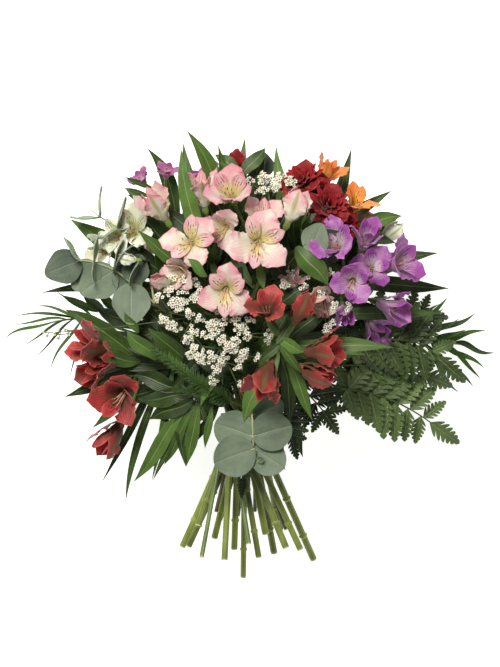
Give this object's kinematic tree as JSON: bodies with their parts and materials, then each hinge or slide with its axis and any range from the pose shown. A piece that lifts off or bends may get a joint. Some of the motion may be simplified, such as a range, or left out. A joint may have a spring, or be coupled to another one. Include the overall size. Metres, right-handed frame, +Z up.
{
  "type": "alstroemeria bouquet",
  "caption": "Hand-tied bouquet of lily-like florets in mixed colours with fern, palm and round-leaved foliage, stems crossing in a spiral at the tie, lying on its back.",
  "frame": {"origin": "centre of the flat underside of the round leaf that the head rests on, on the table", "axes": "+X to the right and +Y towards the flowers as seen from above, +Z up from the table, away from it towards the side with the most blooms"},
  "size_m": [0.4472, 0.404, 0.2092],
  "materials": {
    "dark_red_petal": "soft satin petal",
    "eucalyptus_leaf": "satin leaf",
    "fern_leaf": "satin leaf",
    "filler_flower": "matte, papery",
    "green_leaf": "satin leaf",
    "orange_petal": "soft satin petal",
    "palm_leaf": "satin leaf",
    "pink_petal": "soft satin petal",
    "purple_petal": "soft satin petal",
    "red_petal": "soft satin petal",
    "tie_twine": "dry, fibrous",
    "white_petal": "soft satin petal"
  },
  "bodies": {
    "root": {"back_left": "green_leaf", "back_right": "green_leaf", "dark_left": "green_leaf", "dark_red": "green_leaf", "dark_red_bloom_1": "dark_red_petal", "dark_red_bloom_2": "dark_red_petal", "dark_red_bloom_3": "dark_red_petal", "eucalyptus_back": "eucalyptus_leaf", "eucalyptus_front": "eucalyptus_leaf", "eucalyptus_left": "eucalyptus_leaf", "eucalyptus_right": "eucalyptus_leaf", "fern_lower": "fern_leaf", "fern_upper": "fern_leaf", "filler_front": "filler_flower", "magenta": "green_leaf", "magenta_bloom_1": "purple_petal", "magenta_bloom_2": "purple_petal", "orange": "green_leaf", "orange_bloom_1": "orange_petal", "orange_bloom_2": "orange_petal", "palm_left": "palm_leaf", "palm_right": "palm_leaf", "pink_bloom_1": "pink_petal", "pink_bloom_10": "pink_petal", "pink_bloom_2": "pink_petal", "pink_bloom_3": "pink_petal", "pink_bloom_4": "pink_petal", "pink_bloom_5": "pink_petal", "pink_bloom_6": "pink_petal", "pink_bloom_7": "pink_petal", "pink_bloom_8": "pink_petal", "pink_bloom_9": "pink_petal", "pink_front": "green_leaf", "pink_left": "green_leaf", "pink_outer": "green_leaf", "purple": "green_leaf", "purple_bloom_1": "purple_petal", "purple_bloom_2": "purple_petal", "purple_bloom_3": "purple_petal", "purple_bloom_4": "purple_petal", "purple_bloom_5": "purple_petal", "purple_bloom_6": "purple_petal", "purple_bloom_7": "purple_petal", "red_bloom_1": "red_petal", "red_bloom_10": "red_petal", "red_bloom_2": "red_petal", "red_bloom_3": "red_petal", "red_bloom_4": "red_petal", "red_bloom_5": "red_petal", "red_bloom_6": "red_petal", "red_bloom_7": "red_petal", "red_bloom_8": "red_petal", "red_bloom_9": "red_petal", "red_left": "green_leaf", "red_right": "green_leaf", "tie": "tie_twine", "white_bloom_1": "white_petal", "white_bloom_2": "white_petal", "white_left": "green_leaf", "white_right": "green_leaf"}
  },
  "joints": []
}
